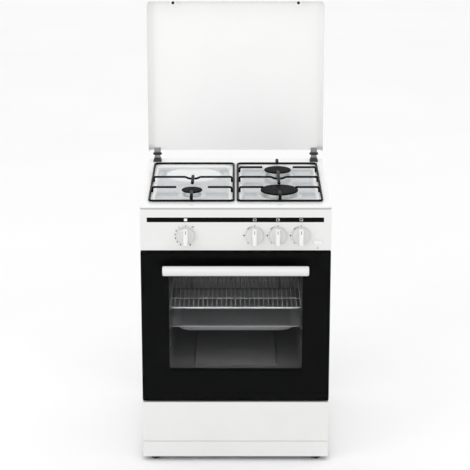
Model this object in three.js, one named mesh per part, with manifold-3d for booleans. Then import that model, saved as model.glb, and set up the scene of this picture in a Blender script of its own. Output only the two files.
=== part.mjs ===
// A freestanding gas range with a gas oven, three burners, a storage drawer and a fold-down hob lid.
// Millimetres, +Z up, the front faces -Y. The origin is on the floor, under the middle of the overall box.
// Inside the range group, y is the depth behind the plane of the oven door's glass.
import * as THREE from "three";
import { mergeVertices } from "three/addons/utils/BufferGeometryUtils.js";
import Module from "manifold-3d";

const wasm = await Module();
wasm.setup();

// Overall widths and depths.
const FRONT_WIDTH = 597; // door, control panel, drawer front and plinth
const HOB_WIDTH = 593;
const BODY_WIDTH = 590;
const DEPTH = 600; // from the door's glass to the hob's back edge
const HANDLE_REACH = 48; // how far the handle stands out of the door
const FRONT_PARTS_DEPTH = 40; // door, control panel and drawer front, front to back
const FACE_DEPTH = 42; // where the oven's face frame and the side panels begin
const REAR_DEPTH = 585; // outer face of the rear panel
const SHEET = 1.2; // steel sheet
const GAP = 0.3; // clearance between touching pieces

// Heights of the horizontal seams above the floor.
const FOOT_HEIGHT = 15;
const PLINTH_TOP = 67;
const DRAWER_BOTTOM = 68.5;
const DRAWER_TOP = 203;
const DOOR_BOTTOM = 207;
const DOOR_TOP = 712;
const PANEL_BOTTOM = 714;
const PANEL_TOP = 847;
const HOB_BOTTOM = 848.5;
const HOB_TOP = 857;

// Hob: two basins, three burners and two pan supports.
const BASIN_FLOOR = 848;
const BASIN_X = [15, 262]; // inner and outer edge of the right-hand basin, mirrored for the left
const BASIN_Y = [60, 505];
const BASIN_SLOPE = 12; // how far the basin walls lean in
const COOKING_X = 139; // middle of each pan support and its burners
const COOKING_Y = [155, 405]; // front and rear burner row
const BURNERS = {
  front_left: { x: -COOKING_X, y: COOKING_Y[0], cap: 33 },
  rear_right: { x: COOKING_X, y: COOKING_Y[1], cap: 44 },
  front_right: { x: COOKING_X, y: COOKING_Y[0], cap: 60 },
};
const CAP_UNDERSIDE = 864.3;
const SUPPORT_HALF_WIDTH = 136;
const SUPPORT_Y = [46, 518];
const WIRE = 6; // pan support wire
const FINGER_TOP = 880;
const TIP_DISTANCE = 52; // from a burner's centre to a finger's tip

// Controls.
const KNOB_Z = 762;
const KNOB_X = { oven: -156, front_left: 59, rear_right: 131.5, front_right: 204 };
const KNOB_RADIUS = 27;
const KNOB_GAP = 5.2; // from the panel to the skirt, more than the push
const SPINDLE_RADIUS = 4;
const BUTTON = { x: [243, 270], z: [733.2, 746.2] };
const RAIL = { y: 66, radius: 8 };

// Oven cavity, in the liner's inner faces.
const CAVITY = { halfWidth: 220, bottom: 290, top: 670, back: 480.8, corner: 19 };
const SHELF_LEVELS = [370, 431, 492, 553, 614];
const TRAY_LEVEL = 431;
const RACK_LEVEL = 492;
const LEDGE_INNER = 208; // half width between the shelf ledges

// Door.
const DOOR_GLASS = 4;
const WINDOW = { halfWidth: 212, bottom: 305, top: 652 };
const DOOR_PIVOT = { y: 8, z: DOOR_BOTTOM + 9 };
const HINGE_X = 250;
const HANDLE = { halfLength: 228.5, bottom: 643, top: 674, thickness: 14, footX: 196 };

// Lid, standing open.
const LID_PIVOT = { y: 566, z: 882 };
const LID_HINGE_X = 266;
const LID_HALF_WIDTH = 295.5;
const LID_REACH = [12, 526]; // from the pivot to the lid's lower and upper edge
const LID_RIM = 22; // how far the rim stands in front of the pivot
const LID_PLATE = 5; // how far the plate's inner face stands behind the pivot
const LID_ROUNDING = 18;
const BUMPER = { x: 208, tab: 14 }; // each sits on a tab, this far in front of the pivot

// Drawer.
const DRAWER_BOX = { halfWidth: 262, bottom: 73, top: 153, y: [1.5, 540] };

const half = (width) => [-width / 2, width / 2];
const middle = ([low, high]) => (low + high) / 2;
const grown = ([low, high], by) => [low - by, high + by];

// ---- shapes ----

// A box from three [low, high] ranges.
function block(x, y, z) {
  const box = new THREE.BoxGeometry(x[1] - x[0], y[1] - y[0], z[1] - z[0]);
  return box.translate(middle(x), middle(y), middle(z));
}

// A box whose bottom or top face is drawn in on all four sides.
function taperedBlock(x, y, z, bottomInset, topInset = 0) {
  const box = block(x, y, z);
  const place = box.attributes.position;
  for (let i = 0; i < place.count; i++) {
    const inset = place.getZ(i) < middle(z) ? bottomInset : topInset;
    place.setX(i, place.getX(i) + inset * Math.sign(middle(x) - place.getX(i)));
    place.setY(i, place.getY(i) + inset * Math.sign(middle(y) - place.getY(i)));
  }
  return box;
}

function polygon(points) {
  return new THREE.Shape(points.map(([a, b]) => new THREE.Vector2(a, b)));
}

function roundedRectangle([x0, x1], [y0, y1], radius) {
  const shape = new THREE.Shape();
  shape.absarc(x1 - radius, y0 + radius, radius, -Math.PI / 2, 0);
  shape.absarc(x1 - radius, y1 - radius, radius, 0, Math.PI / 2);
  shape.absarc(x0 + radius, y1 - radius, radius, Math.PI / 2, Math.PI);
  shape.absarc(x0 + radius, y0 + radius, radius, Math.PI, 1.5 * Math.PI);
  return shape;
}

// A rounded rectangle with a rounded window of its own in it, as a frame of that width.
function ring(x, y, radius, width) {
  const shape = roundedRectangle(x, y, radius);
  shape.holes.push(roundedRectangle(grown(x, -width), grown(y, -width), Math.max(radius - width, 1)));
  return shape;
}

function extruded(shape, length, curveSegments) {
  return new THREE.ExtrudeGeometry(shape, { depth: length, bevelEnabled: false, curveSegments });
}

// A plate lying flat: the shape's plane is XY.
function lying(shape, [z0, z1], curveSegments = 4) {
  return extruded(shape, z1 - z0, curveSegments).translate(0, 0, z0);
}

// A plate standing across the range: the shape's plane is XZ.
function standing(shape, [y0, y1], curveSegments = 4) {
  return extruded(shape, y1 - y0, curveSegments).rotateX(Math.PI / 2).translate(0, y1, 0);
}

// A bar that runs across the range: the shape's plane is YZ.
function across(shape, [x0, x1], curveSegments = 4) {
  const turn = new THREE.Matrix4().makeBasis(
    new THREE.Vector3(0, 1, 0),
    new THREE.Vector3(0, 0, 1),
    new THREE.Vector3(1, 0, 0),
  );
  return extruded(shape, x1 - x0, curveSegments).applyMatrix4(turn).translate(x0, 0, 0);
}

// A turned piece round the vertical axis, from [radius, height] pairs listed from the top down.
function turned(profile, segments = 28) {
  const points = profile.map(([r, h]) => new THREE.Vector2(r, h)).reverse();
  return new THREE.LatheGeometry(points, segments).rotateX(Math.PI / 2);
}

function rod(radius, [start, end], axis, sides = 16) {
  const cylinder = new THREE.CylinderGeometry(radius, radius, end - start, sides);
  cylinder.translate(0, middle([start, end]), 0);
  if (axis === "x") cylinder.rotateZ(-Math.PI / 2);
  if (axis === "z") cylinder.rotateX(Math.PI / 2);
  return cylinder;
}

// A round tube or bar along a smooth path.
function tube(points, radius, steps) {
  const circle = new THREE.Shape();
  circle.absarc(0, 0, radius, 0, 2 * Math.PI);
  const places = points.map((p) => new THREE.Vector3(...p));
  const extrudePath = new THREE.CatmullRomCurve3(places, false, "centripetal");
  return new THREE.ExtrudeGeometry(circle, { steps, extrudePath, bevelEnabled: false, curveSegments: 4 });
}

// ---- joining and cutting ----

function solidOf(geometry) {
  const bare = geometry.clone();
  bare.deleteAttribute("normal");
  bare.deleteAttribute("uv");
  const merged = mergeVertices(bare, 1e-3);
  const vertProperties = new Float32Array(merged.attributes.position.array);
  const triVerts = new Uint32Array(merged.index.array);
  return new wasm.Manifold(new wasm.Mesh({ numProp: 3, vertProperties, triVerts }));
}

function geometryOf(solid) {
  const mesh = solid.getMesh();
  const geometry = new THREE.BufferGeometry();
  geometry.setAttribute("position", new THREE.BufferAttribute(mesh.vertProperties, 3));
  geometry.setIndex(new THREE.BufferAttribute(mesh.triVerts, 1));
  geometry.computeVertexNormals();
  return geometry;
}

function join(...geometries) {
  return geometryOf(geometries.map(solidOf).reduce((sum, next) => sum.add(next)));
}

function cut(geometry, ...tools) {
  return geometryOf(tools.map(solidOf).reduce((rest, tool) => rest.subtract(tool), solidOf(geometry)));
}

// ---- casing ----

function sidePanel(side) {
  const outer = (side * BODY_WIDTH) / 2;
  const inner = outer - side * SHEET;
  const frontLip = outer - side * 18;
  const rearLip = outer - side * 15;
  const outline = polygon([
    [outer, FACE_DEPTH],
    [outer, REAR_DEPTH],
    [rearLip, REAR_DEPTH],
    [rearLip, REAR_DEPTH - SHEET],
    [inner, REAR_DEPTH - SHEET],
    [inner, FACE_DEPTH + SHEET],
    [frontLip, FACE_DEPTH + SHEET],
    [frontLip, FACE_DEPTH],
  ]);
  return lying(outline, [FOOT_HEIGHT + 2, PANEL_TOP - GAP]);
}

function rearPanel() {
  const sheet = block(half(559), [REAR_DEPTH - SHEET, REAR_DEPTH], [40, 842]);
  const slot = { halfLength: 45, height: 5, pitch: 16, count: 6 };
  const through = [REAR_DEPTH - 10, REAR_DEPTH + 10];
  const slots = [];
  for (const x of [-120, 120]) {
    for (const bottom of [90, 700]) {
      for (let i = 0; i < slot.count; i++) {
        const z = bottom + i * slot.pitch;
        slots.push(block([x - slot.halfLength, x + slot.halfLength], through, [z, z + slot.height]));
      }
    }
  }
  const pipeHole = rod(GAS_INLET.radius + 1.5, through, "y").translate(GAS_INLET.x, 0, KNOB_Z);
  return cut(sheet, pipeHole, ...slots);
}

const FOOT_PLACES = [[-260, 28], [260, 28], [-260, 550], [260, 550]];

function basePan() {
  const floor = [FOOT_HEIGHT + GAP, FOOT_HEIGHT + GAP + SHEET];
  const plate = block(half(588), [3, REAR_DEPTH - 2], floor);
  const upstand = block(half(556), [REAR_DEPTH - 2 - SHEET, REAR_DEPTH - 2], [floor[0], 39]);
  const holes = FOOT_PLACES.map(([x, y]) => rod(4.6, [10, 20], "z").translate(x, y, 0));
  return cut(join(plate, upstand), ...holes);
}

function foot() {
  const profile = [[0, 26], [4, 26], [4, 15], [20, 15], [19, 8], [16, 2.5], [12, 0], [0, 0]];
  return turned(profile, 16);
}

// A front part folded from sheet: a shallow box that is open at the back.
function foldedFront(width, [z0, z1]) {
  const outer = block(half(width), [0, FRONT_PARTS_DEPTH], [z0, z1]);
  const inner = block(half(width - 2 * SHEET), [SHEET, FRONT_PARTS_DEPTH + 1], [z0 + SHEET, z1 - SHEET]);
  return cut(outer, inner);
}

function plinth() {
  const bottom = FOOT_HEIGHT - 0.5;
  const outer = block(half(FRONT_WIDTH), [0, FRONT_PARTS_DEPTH], [bottom, PLINTH_TOP]);
  const hollow = [SHEET, FRONT_PARTS_DEPTH + 1];
  const inner = block(half(FRONT_WIDTH - 2 * SHEET), hollow, [bottom - 1, PLINTH_TOP - SHEET]);
  return cut(outer, inner);
}

// ---- drawer ----

function drawerBox() {
  const { halfWidth, bottom, top, y } = DRAWER_BOX;
  const outer = block([-halfWidth, halfWidth], y, [bottom, top]);
  const inside = grown([-halfWidth, halfWidth], -SHEET);
  return cut(outer, block(inside, grown(y, -SHEET), [bottom + SHEET, top + 1]));
}

function drawerRunner(side) {
  const wall = BODY_WIDTH / 2 - SHEET - GAP;
  const ledgeTop = DRAWER_BOX.bottom - 0.5;
  const outline = polygon([
    [side * 250, ledgeTop - SHEET],
    [side * wall, ledgeTop - SHEET],
    [side * wall, 120],
    [side * (wall - SHEET), 120],
    [side * (wall - SHEET), ledgeTop],
    [side * 250, ledgeTop],
  ]);
  return standing(outline, [46, 560]);
}

// ---- oven ----

const acrossCavity = (inset) => [-CAVITY.halfWidth + inset, CAVITY.halfWidth - inset];

// One pressed shelf guide: a ledge to carry the shelf and a rib above it that stops it tipping.
function shelfGuide(side, level) {
  const wall = CAVITY.halfWidth + SHEET / 2;
  const ledge = [side * LEDGE_INNER, side * wall].sort((a, b) => a - b);
  const rib = [side * (LEDGE_INNER + 6), side * wall].sort((a, b) => a - b);
  return [block(ledge, [70, 470], [level - 3, level]), block(rib, [70, 470], [level + 16, level + 19])];
}

function ovenLiner() {
  const { bottom, top, back, corner } = CAVITY;
  const mouth = roundedRectangle(acrossCavity(0), [bottom, top], corner);
  const shell = roundedRectangle(acrossCavity(-SHEET), [bottom - SHEET, top + SHEET], corner + SHEET);
  const wallSection = shell.clone();
  wallSection.holes.push(mouth);
  const faceFrame = roundedRectangle(half(553), [DOOR_BOTTOM + 1, DOOR_TOP], 2);
  faceFrame.holes.push(mouth);
  const backPad = roundedRectangle(half(298), [392, 566], 40);
  const guides = [-1, 1].flatMap((side) => SHELF_LEVELS.flatMap((level) => shelfGuide(side, level)));
  const whole = join(
    standing(wallSection, [FACE_DEPTH + SHEET / 2, back + SHEET / 2]),
    standing(shell, [back, back + SHEET]),
    standing(faceFrame, [FACE_DEPTH, FACE_DEPTH + SHEET]),
    standing(backPad, [back - 3, back + SHEET / 2]),
    ...guides,
  );
  const flameOpening = block(half(190), [130, 400], [bottom - 5, bottom + 5]);
  const hingeSlots = [-1, 1].map((side) => {
    const x = side * HINGE_X;
    return block([x - 7, x + 7], [FACE_DEPTH - 2, FACE_DEPTH + 4], [DOOR_PIVOT.z - 7, DOOR_PIVOT.z + 7]);
  });
  return cut(whole, flameOpening, ...hingeSlots);
}

function ovenFloorPlate() {
  const z = [CAVITY.bottom + GAP, CAVITY.bottom + 7];
  const outer = taperedBlock(half(268), [95, 440], z, 0, 4);
  return cut(outer, taperedBlock(half(264), [97, 438], [z[0] - 1, z[1] - 1.5], 0, 4));
}

// A U of tube, with its legs running to the oven's back.
function uTube(halfWidth, front, back, z, radius) {
  const bend = 30;
  const right = [
    [halfWidth, back, z],
    [halfWidth, (front + back) / 2, z],
    [halfWidth, front + bend, z],
    [halfWidth - bend * 0.3, front + bend * 0.3, z],
    [halfWidth - bend, front, z],
  ];
  const left = right.map(([x, y, height]) => [-x, y, height]).reverse();
  return tube([...right, ...left], radius, 28);
}

function lampLens() {
  const dome = [[0, 14], [10, 12.5], [18, 7], [22, 0], [0, 0]];
  return turned(dome, 20).rotateX(Math.PI / 2);
}

function thermostatProbe() {
  return rod(3, [-34, 34], "z", 12).rotateY(0.45);
}

function wireShelf() {
  const x = [-214, 214];
  const y = [80, 466];
  const z = [RACK_LEVEL + GAP, RACK_LEVEL + GAP + WIRE];
  const count = 25;
  const wires = [];
  for (let i = 0; i < count; i++) {
    const wireX = -196 + (392 * i) / (count - 1);
    wires.push(block([wireX - 1.2, wireX + 1.2], grown(y, -2), [z[1] - 3.4, z[1] - 1]));
  }
  const stays = [180, 366].map((stayY) => block(grown(x, -2), [stayY - 2, stayY + 2], [z[0], z[1] - 2]));
  return join(lying(ring(x, y, 12, WIRE), z), ...stays, ...wires);
}

function bakingTray() {
  const y = [84, 464];
  const rim = block([-212, 212], y, [TRAY_LEVEL + GAP, TRAY_LEVEL + GAP + SHEET]);
  const well = { x: [-198, 198], y: grown(y, -14), z: [TRAY_LEVEL - 25, TRAY_LEVEL + 1] };
  const outer = taperedBlock(well.x, well.y, well.z, 18);
  const inside = [well.z[0] + SHEET, well.z[1] + 3];
  const inner = taperedBlock(grown(well.x, -SHEET), grown(well.y, -SHEET), inside, 18);
  return cut(join(rim, outer), inner);
}

function doorSeal() {
  const loop = ring(acrossCavity(-14), [CAVITY.bottom - 14, CAVITY.top + 14], CAVITY.corner + 14, 10);
  return standing(loop, [FACE_DEPTH - 2.6, FACE_DEPTH - GAP]);
}

// ---- hob ----

function basin(side, growth, z) {
  const x = [side * BASIN_X[0], side * BASIN_X[1]].sort((a, b) => a - b);
  return taperedBlock(grown(x, growth), grown(BASIN_Y, growth), z, BASIN_SLOPE);
}

// A low pressed collar round a burner, with a hole for its body.
function collar({ x, y, cap }) {
  const profile = [[0, 3.5], [cap + 6, 3.5], [cap + 12, 0.2], [cap + 12, -SHEET], [0, -SHEET]];
  return turned(profile).translate(x, y, BASIN_FLOOR);
}

// Where the spark electrode stands, behind each burner and a little to its left.
function electrodePlace({ x, y, cap }) {
  const angle = THREE.MathUtils.degToRad(125);
  return [x + (cap + 5) * Math.cos(angle), y + (cap + 5) * Math.sin(angle)];
}

function hobTop() {
  const outline = roundedRectangle(half(HOB_WIDTH), [0, DEPTH], 8);
  const inside = [HOB_BOTTOM - 1, HOB_TOP - SHEET];
  const hollow = block(half(HOB_WIDTH - 2 * SHEET), [SHEET, DEPTH - SHEET], inside);
  const skin = cut(lying(outline, [HOB_BOTTOM, HOB_TOP]), hollow);
  const wells = [-1, 1].map((side) => basin(side, SHEET, [BASIN_FLOOR - SHEET, HOB_TOP - SHEET / 2]));
  const insides = [-1, 1].map((side) => basin(side, 1.3, [BASIN_FLOOR, HOB_TOP + 1]));
  const blank = turned([[0, 4.5], [72, 3.6], [100, 0.2], [100, -SHEET], [0, -SHEET]]);
  const burners = Object.values(BURNERS);
  const holes = burners.flatMap((burner) => {
    const [pinX, pinY] = electrodePlace(burner);
    return [
      rod(burner.cap - 10, [HOB_BOTTOM - 10, HOB_TOP], "z", 28).translate(burner.x, burner.y, 0),
      rod(3.6, [HOB_BOTTOM - 10, HOB_TOP], "z", 12).translate(pinX, pinY, 0),
    ];
  });
  const pressed = cut(join(skin, ...wells), ...insides);
  const bosses = [blank.translate(-COOKING_X, COOKING_Y[1], BASIN_FLOOR), ...burners.map(collar)];
  return cut(join(pressed, ...bosses), ...holes);
}

function burnerBody({ cap }) {
  const profile = [
    [0, 864],
    [cap - 6, 864],
    [cap - 4, 852],
    [cap - 13, 852],
    [cap - 13, 846],
    [cap - 17, 815],
    [0, 812],
  ];
  return turned(profile);
}

function burnerCap({ cap }) {
  return turned([[0, 6], [cap - 4, 5], [cap, 3.4], [cap, 1], [cap - 2, 0], [0, 0]]);
}

function electrode() {
  return turned([[0, 17], [1.2, 17], [1.2, 13], [3.2, 12], [3.2, 0], [0, 0]], 12);
}

// ---- pan supports ----

const FINGER_Z = [FINGER_TOP - WIRE, FINGER_TOP];
const wide = (at) => [at - WIRE / 2, at + WIRE / 2];

// A leg on the hob, beside the frame, which carries the outer end of a finger.
const leg = (x, y) => block(wide(x), wide(y), [HOB_TOP + GAP, FINGER_TOP]);

function sideFingers(y) {
  const legX = SUPPORT_HALF_WIDTH - WIRE - 1;
  return [-1, 1].flatMap((side) => {
    const reach = [side * TIP_DISTANCE, side * legX].sort((a, b) => a - b);
    return [leg(side * legX, y), block(reach, wide(y), FINGER_Z)];
  });
}

// The bar across the middle, which dips where the lengthways finger is welded into it.
function middleBar(y) {
  const legX = SUPPORT_HALF_WIDTH - WIRE - 1;
  const dip = WIRE - 1;
  const rightHalf = [[legX, 0], [24, 0], [16, -dip]];
  const upper = [...rightHalf.map(([x, z]) => [-x, z]), ...[...rightHalf].reverse()];
  const lower = [...upper].reverse().map(([x, z]) => [x, z - WIRE]);
  const outline = polygon([...upper, ...lower].map(([x, z]) => [x, z + FINGER_TOP]));
  return [leg(-legX, y), leg(legX, y), standing(outline, wide(y))];
}

function panSupport(hasRearBurner) {
  const [front, rear] = COOKING_Y;
  const centre = middle(COOKING_Y);
  const frontLeg = SUPPORT_Y[0] + WIRE + 1;
  const rearLeg = SUPPORT_Y[1] - WIRE - 1;
  const frame = ring(half(2 * SUPPORT_HALF_WIDTH), SUPPORT_Y, 16, WIRE);
  const middleReach = [front + TIP_DISTANCE, hasRearBurner ? rear - TIP_DISTANCE : centre + 14];
  const wires = [
    ...sideFingers(front),
    ...middleBar(centre),
    block(wide(0), middleReach, FINGER_Z),
    leg(0, frontLeg),
    block(wide(0), [frontLeg, front - TIP_DISTANCE], FINGER_Z),
  ];
  if (hasRearBurner) {
    const rearFinger = block(wide(0), [rear + TIP_DISTANCE, rearLeg], FINGER_Z);
    wires.push(...sideFingers(rear), leg(0, rearLeg), rearFinger);
  }
  return join(lying(frame, [HOB_TOP + 1, HOB_TOP + 1 + WIRE]), ...wires);
}

// ---- controls and gas ----

const GAS_INLET = { x: 262, radius: 7 };

function controlPanel() {
  const holes = Object.values(KNOB_X).map((x) => rod(5.2, [-5, 5], "y").translate(x, 0, KNOB_Z));
  const buttonHole = block(grown(BUTTON.x, GAP), [-5, 5], grown(BUTTON.z, GAP));
  return cut(foldedFront(FRONT_WIDTH, [PANEL_BOTTOM, PANEL_TOP]), ...holes, buttonHole);
}

// The supply pipe behind the panel with its four taps.
function gasRail() {
  const places = Object.values(KNOB_X);
  const taps = places.map((x) => block([x - 13, x + 13], [30, RAIL.y], [KNOB_Z - 15, KNOB_Z + 15]));
  const bores = places.map((x) => rod(SPINDLE_RADIUS + 0.5, [20, 52], "y").translate(x, 0, KNOB_Z));
  const pipe = rod(RAIL.radius, [-185, 274], "x").translate(0, RAIL.y, KNOB_Z);
  return cut(join(pipe, ...taps), ...bores);
}

function gasInlet() {
  const pipe = rod(GAS_INLET.radius, [RAIL.y + RAIL.radius + GAP, DEPTH], "y");
  const nut = rod(12, [REAR_DEPTH + 2, REAR_DEPTH + 11], "y", 6);
  return join(pipe, nut);
}

const spindle = () => rod(SPINDLE_RADIUS, [-16, 44], "y");

function knob() {
  const face = -KNOB_GAP - 8;
  const skirt = [[0, 8], [24.5, 8], [26.5, 6.5], [KNOB_RADIUS, 3], [KNOB_RADIUS, 0], [0, 0]];
  const disc = turned(skirt).rotateX(Math.PI / 2).translate(0, -KNOB_GAP, 0);
  const grip = taperedBlock(half(17), half(52), [0, 19.2], 0, 1.8).rotateX(Math.PI / 2);
  grip.translate(0, face + 1, 0);
  return cut(join(disc, grip), rod(SPINDLE_RADIUS + GAP, [face - 9, 0], "y"));
}

function ignitionButton() {
  return block(BUTTON.x, [-2.2, 12], BUTTON.z);
}

function terminalBox() {
  const box = block([-250, -186], [REAR_DEPTH + GAP, DEPTH], [556, 640]);
  return cut(box, rod(4.5, [550, 580], "z", 12).translate(-218, middle([REAR_DEPTH, DEPTH]), 0));
}

// ---- door ----

function doorGlass() {
  const [left, right] = half(FRONT_WIDTH);
  const shape = new THREE.Shape();
  const topRadius = 3;
  const bottomRadius = 8;
  shape.absarc(right - bottomRadius, DOOR_BOTTOM + bottomRadius, bottomRadius, -Math.PI / 2, 0);
  shape.absarc(right - topRadius, DOOR_TOP - topRadius, topRadius, 0, Math.PI / 2);
  shape.absarc(left + topRadius, DOOR_TOP - topRadius, topRadius, Math.PI / 2, Math.PI);
  shape.absarc(left + bottomRadius, DOOR_BOTTOM + bottomRadius, bottomRadius, Math.PI, 1.5 * Math.PI);
  return standing(shape, [0, DOOR_GLASS]);
}

// Where the hinge arm comes through the door, which has to clear it from closed to fully open.
function hingeClearance(x) {
  return block([x - 6, x + 6], [DOOR_GLASS, FACE_DEPTH], [DOOR_BOTTOM - 2, DOOR_PIVOT.z + 6]);
}

function hingeLugs(x) {
  return [-1, 1].map((side) => {
    const lugX = x + side * 10.5;
    const tall = [DOOR_BOTTOM + 1.5, DOOR_PIVOT.z + 8];
    const plate = block([lugX - 1.5, lugX + 1.5], [DOOR_GLASS + 0.6, 14], tall);
    const hole = rod(2.4, [lugX - 5, lugX + 5], "x").translate(0, DOOR_PIVOT.y, DOOR_PIVOT.z);
    return cut(plate, hole);
  });
}

function doorFrame() {
  const [y0, y1] = [DOOR_GLASS + GAP, FRONT_PARTS_DEPTH - 1];
  const x = half(FRONT_WIDTH - 3);
  const z = [DOOR_BOTTOM + 1, DOOR_TOP - 1];
  const front = standing(roundedRectangle(grown(x, -15), grown(z, -15), 6), [y0 - 1, y0 + 5]);
  const window = roundedRectangle([-WINDOW.halfWidth, WINDOW.halfWidth], [WINDOW.bottom, WINDOW.top], 8);
  const shell = cut(
    block(x, [y0, y1], z),
    block(grown(x, -SHEET), [y0 + SHEET, y1 - SHEET], grown(z, -SHEET)),
    front,
    standing(window, [y1 - 5, y1 + 5]),
    hingeClearance(-HINGE_X),
    hingeClearance(HINGE_X),
  );
  return join(shell, ...hingeLugs(-HINGE_X), ...hingeLugs(HINGE_X));
}

function doorInnerGlass() {
  const back = FRONT_PARTS_DEPTH - 1 - SHEET - GAP;
  const shape = roundedRectangle(half(2 * WINDOW.halfWidth + 28), grown([WINDOW.bottom, WINDOW.top], 14), 8);
  return standing(shape, [back - 4, back]);
}

// The arm that carries the door: its pin is inside the door, its root is in the oven's face frame.
function doorHingeArm(side) {
  const x = side * HINGE_X;
  const { y, z } = DOOR_PIVOT;
  const arm = block([x - 4, x + 4], [y - 2.5, 90], [z - 2.5, z + 2.5]);
  const root = block([x - 4, x + 4], [FACE_DEPTH + SHEET + GAP, 120], [z - 10, z + 10]);
  return join(arm, root, rod(2, [x - 11.5, x + 11.5], "x", 12).translate(0, y, z));
}

function doorHandle() {
  const { halfLength, bottom, top, thickness, footX } = HANDLE;
  const section = roundedRectangle([-HANDLE_REACH, thickness - HANDLE_REACH], [bottom, top], 5);
  const feet = [-footX, footX].map((x) => {
    return block([x - 13, x + 13], [thickness - HANDLE_REACH - 2, -GAP], [bottom + 5, top - 5]);
  });
  return join(across(section, [-halfLength, halfLength]), ...feet);
}

// ---- lid ----

// A pillow of the lid's outline, rounded at its back, grown outwards or inwards.
function lidPillow(growth) {
  const rounding = LID_ROUNDING + growth;
  const top = LID_PIVOT.z + LID_REACH[1];
  const x = grown([-LID_HALF_WIDTH, LID_HALF_WIDTH], -LID_ROUNDING);
  const shape = roundedRectangle(x, [LID_PIVOT.z - 100, top - LID_ROUNDING], 6);
  const back = LID_PIVOT.y + LID_PLATE + SHEET + growth;
  const bevel = { bevelThickness: rounding, bevelSize: rounding, bevelSegments: 4 };
  const pillow = new THREE.ExtrudeGeometry(shape, { depth: 30, curveSegments: 2, ...bevel });
  return pillow.rotateX(Math.PI / 2).translate(0, back - rounding, 0);
}

function lidPanel() {
  const rim = LID_PIVOT.y - LID_RIM;
  const bottom = LID_PIVOT.z + LID_REACH[0];
  const top = LID_PIVOT.z + LID_REACH[1];
  const everywhere = [-400, 400];
  const beforeRim = block(everywhere, [rim - 200, rim], [600, 1600]);
  const belowEdge = block(everywhere, [rim - 200, rim + 200], [600, bottom]);
  const pan = cut(lidPillow(0), lidPillow(-SHEET), beforeRim, belowEdge);
  const tabY = LID_PIVOT.y - BUMPER.tab;
  const tabs = [-BUMPER.x, BUMPER.x].map((x) => {
    return block([x - 18, x + 18], [tabY, tabY + SHEET], [top - 17, top - SHEET / 2]);
  });
  return join(pan, ...tabs);
}

function lidBumper() {
  return turned([[0, 2.4], [2.5, 2.2], [4.4, 1.2], [5, 0], [0, 0]], 12).rotateX(Math.PI / 2);
}

// The black foot on the hob, with two ears and the pin between them.
function lidHingeBase() {
  const { y, z } = LID_PIVOT;
  const foot = taperedBlock(half(29), [y - 18, y + 18], [HOB_TOP + GAP, 870], 0, 5);
  const ears = [-1, 1].map((side) => {
    const x = [side * 8.6, side * 11.6].sort((a, b) => a - b);
    return block(x, [y - 5.5, y + 5.5], [868, z + 6]);
  });
  return join(foot, ...ears, rod(2.5, [-9, 9], "x", 12).translate(0, y, z));
}

// The lid's half of the hinge: a barrel round the pin and a strap behind it.
function lidHingeLeaf() {
  const { y, z } = LID_PIVOT;
  const barrel = rod(5.2, [-8.2, 8.2], "x").translate(0, y, z);
  const strap = block(half(16), [y + LID_PLATE - GAP - 3, y + LID_PLATE - GAP], [z - 1, z + 38]);
  return cut(join(barrel, strap), rod(2.8, [-20, 20], "x", 12).translate(0, y, z));
}

// ---- materials ----

function finish(color, roughness, metalness = 0, opacity = 1) {
  return new THREE.MeshStandardMaterial({ color, roughness, metalness, opacity, transparent: opacity < 1 });
}

const whiteEnamel = finish(0xf2f2f0, 0.25);
const greyEnamel = finish(0x3c3c3e, 0.4);
const blackEnamel = finish(0x1a1a1b, 0.45);
const galvanised = finish(0xa9adb0, 0.5, 0.8);
const polishedSteel = finish(0xc8cacc, 0.25, 1);
const castAluminium = finish(0xb9babb, 0.45, 1);
const brass = finish(0xb08d4f, 0.35, 1);
const darkGlass = finish(0x101112, 0.05, 0, 0.6);
const clearGlass = finish(0xdfe6e6, 0.05, 0, 0.3);
const whitePlastic = finish(0xf4f4f2, 0.35);
const blackPlastic = finish(0x202122, 0.5);
const rubber = finish(0x1b1b1c, 0.8);
const ceramic = finish(0xece7dc, 0.35);

// ---- assembly ----

const range = new THREE.Group();
range.name = "range";
range.position.y = (HANDLE_REACH - DEPTH) / 2;

function add(name, geometry, material, [x, y, z] = [0, 0, 0]) {
  const mesh = new THREE.Mesh(geometry, material);
  mesh.name = name;
  mesh.position.set(x, y, z);
  range.add(mesh);
}

const sides = { left: -1, right: 1 };

for (const [word, side] of Object.entries(sides)) {
  add(`side_panel_${word}`, sidePanel(side), whiteEnamel);
  add(`drawer_runner_${word}`, drawerRunner(side), galvanised);
  add(`door_hinge_arm_${word}`, doorHingeArm(side), polishedSteel);
  add(`lid_hinge_base_${word}`, lidHingeBase(), blackPlastic, [side * LID_HINGE_X, 0, 0]);
  add(`lid_hinge_leaf_${word}`, lidHingeLeaf(), polishedSteel, [side * LID_HINGE_X, 0, 0]);
  const bumperPlace = [side * BUMPER.x, LID_PIVOT.y - BUMPER.tab - GAP, LID_PIVOT.z + LID_REACH[1] - 8];
  add(`lid_bumper_${word}`, lidBumper(), rubber, bumperPlace);
  add(`pan_support_${word}`, panSupport(word === "right"), blackEnamel, [side * COOKING_X, 0, 0]);
}

const footNames = ["front_left", "front_right", "rear_left", "rear_right"];
FOOT_PLACES.forEach(([x, y], i) => add(`foot_${footNames[i]}`, foot(), rubber, [x, y, 0]));

add("rear_panel", rearPanel(), galvanised);
add("base_pan", basePan(), galvanised);
add("plinth", plinth(), whiteEnamel);
add("terminal_box", terminalBox(), blackPlastic);

add("drawer_front", foldedFront(FRONT_WIDTH, [DRAWER_BOTTOM, DRAWER_TOP]), whiteEnamel);
add("drawer_box", drawerBox(), galvanised);

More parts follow.
